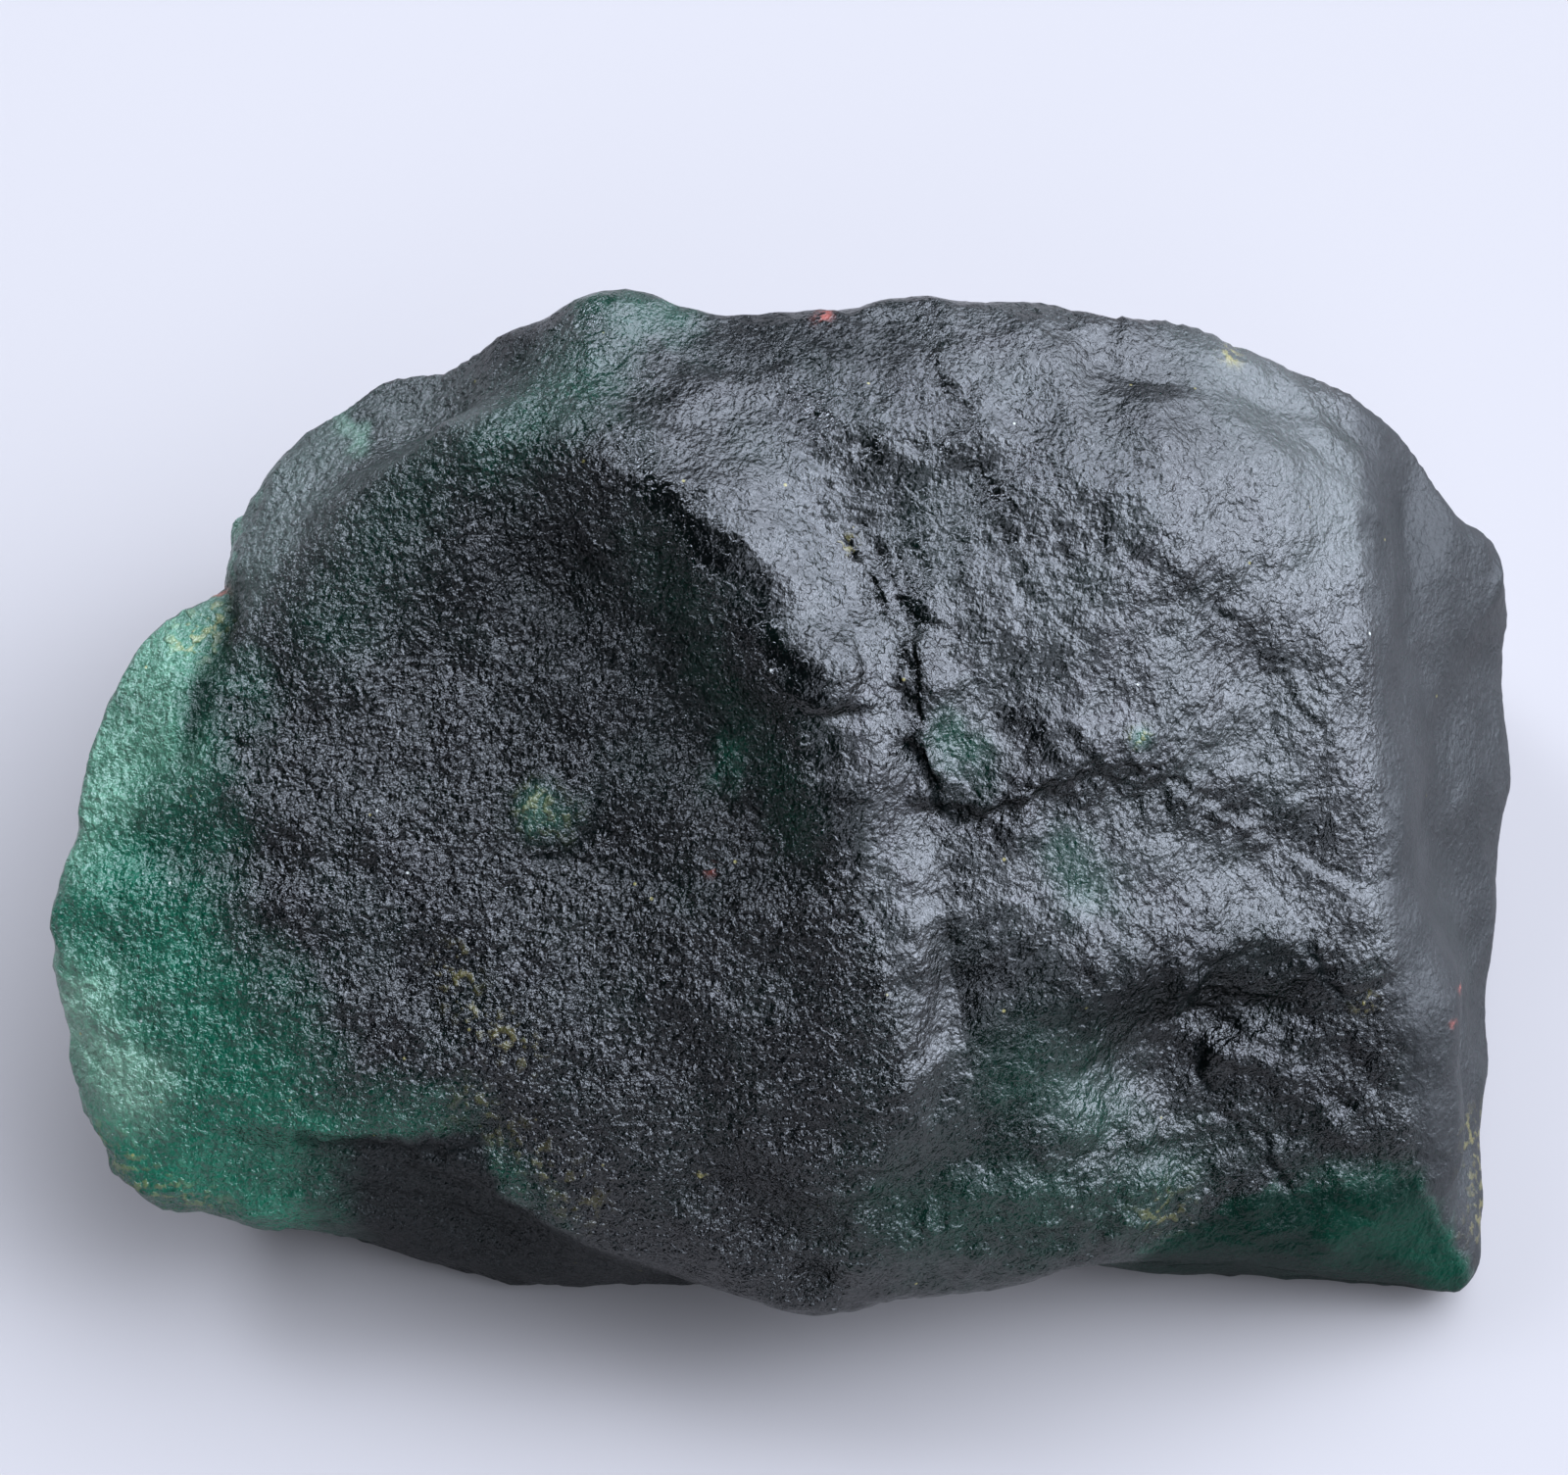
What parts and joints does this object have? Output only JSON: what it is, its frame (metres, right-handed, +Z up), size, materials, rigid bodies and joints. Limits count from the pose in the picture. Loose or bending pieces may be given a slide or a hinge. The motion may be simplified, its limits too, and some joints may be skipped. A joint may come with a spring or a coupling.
{
  "type": "raw emerald",
  "caption": "Large rough emerald stone: dark green blocky lump with a worn, stepped face and a flat break to rest on.",
  "frame": {"origin": "on the resting face, under the middle of the stone's bounding box", "axes": "+Z up, +X along the stone's length towards the steep end face, +Y away from the near, low edge"},
  "size_m": [0.1566, 0.1094, 0.0674],
  "materials": {
    "emerald_rough": "fine-grained, half-gloss broken surface, black-green with brighter green at the thin edges"
  },
  "bodies": {
    "root": {"raw_emerald": "emerald_rough"}
  },
  "joints": []
}
